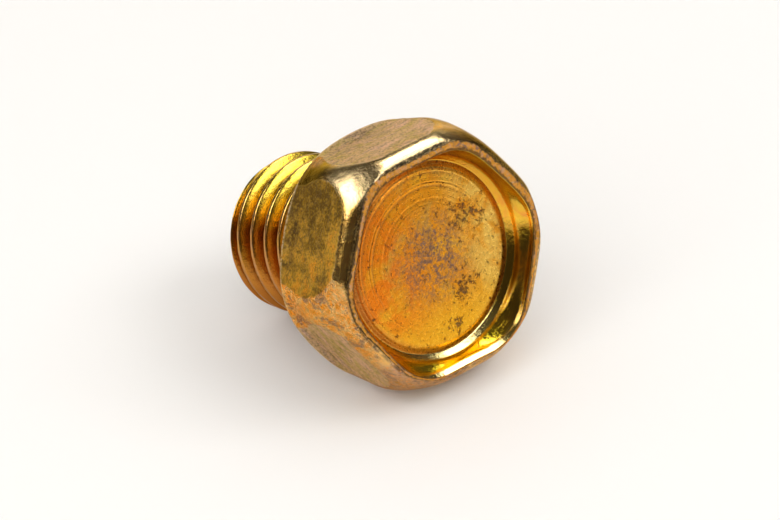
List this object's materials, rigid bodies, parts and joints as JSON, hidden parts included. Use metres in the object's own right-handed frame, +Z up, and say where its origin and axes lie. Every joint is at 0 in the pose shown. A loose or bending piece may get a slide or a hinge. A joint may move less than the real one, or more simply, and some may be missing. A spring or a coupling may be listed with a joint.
{
  "type": "float bowl screw",
  "caption": "Short cold-headed hexagon screw with an indented head and a fine inch thread, which holds a carburettor's float bowl in place.",
  "frame": {"origin": "centre of the seat under the head, on the screw's axis", "axes": "+Z up; the screw lies at rest with one flat towards the ground, its head facing +X and its thread pointing -X and down"},
  "size_m": [0.0116, 0.0104, 0.01],
  "materials": {
    "plated_steel": "zinc plate with a yellow chromate film, glossy on corners and walls, worn and matte on the flats"
  },
  "bodies": {
    "root": {"screw": "plated_steel"}
  },
  "joints": []
}
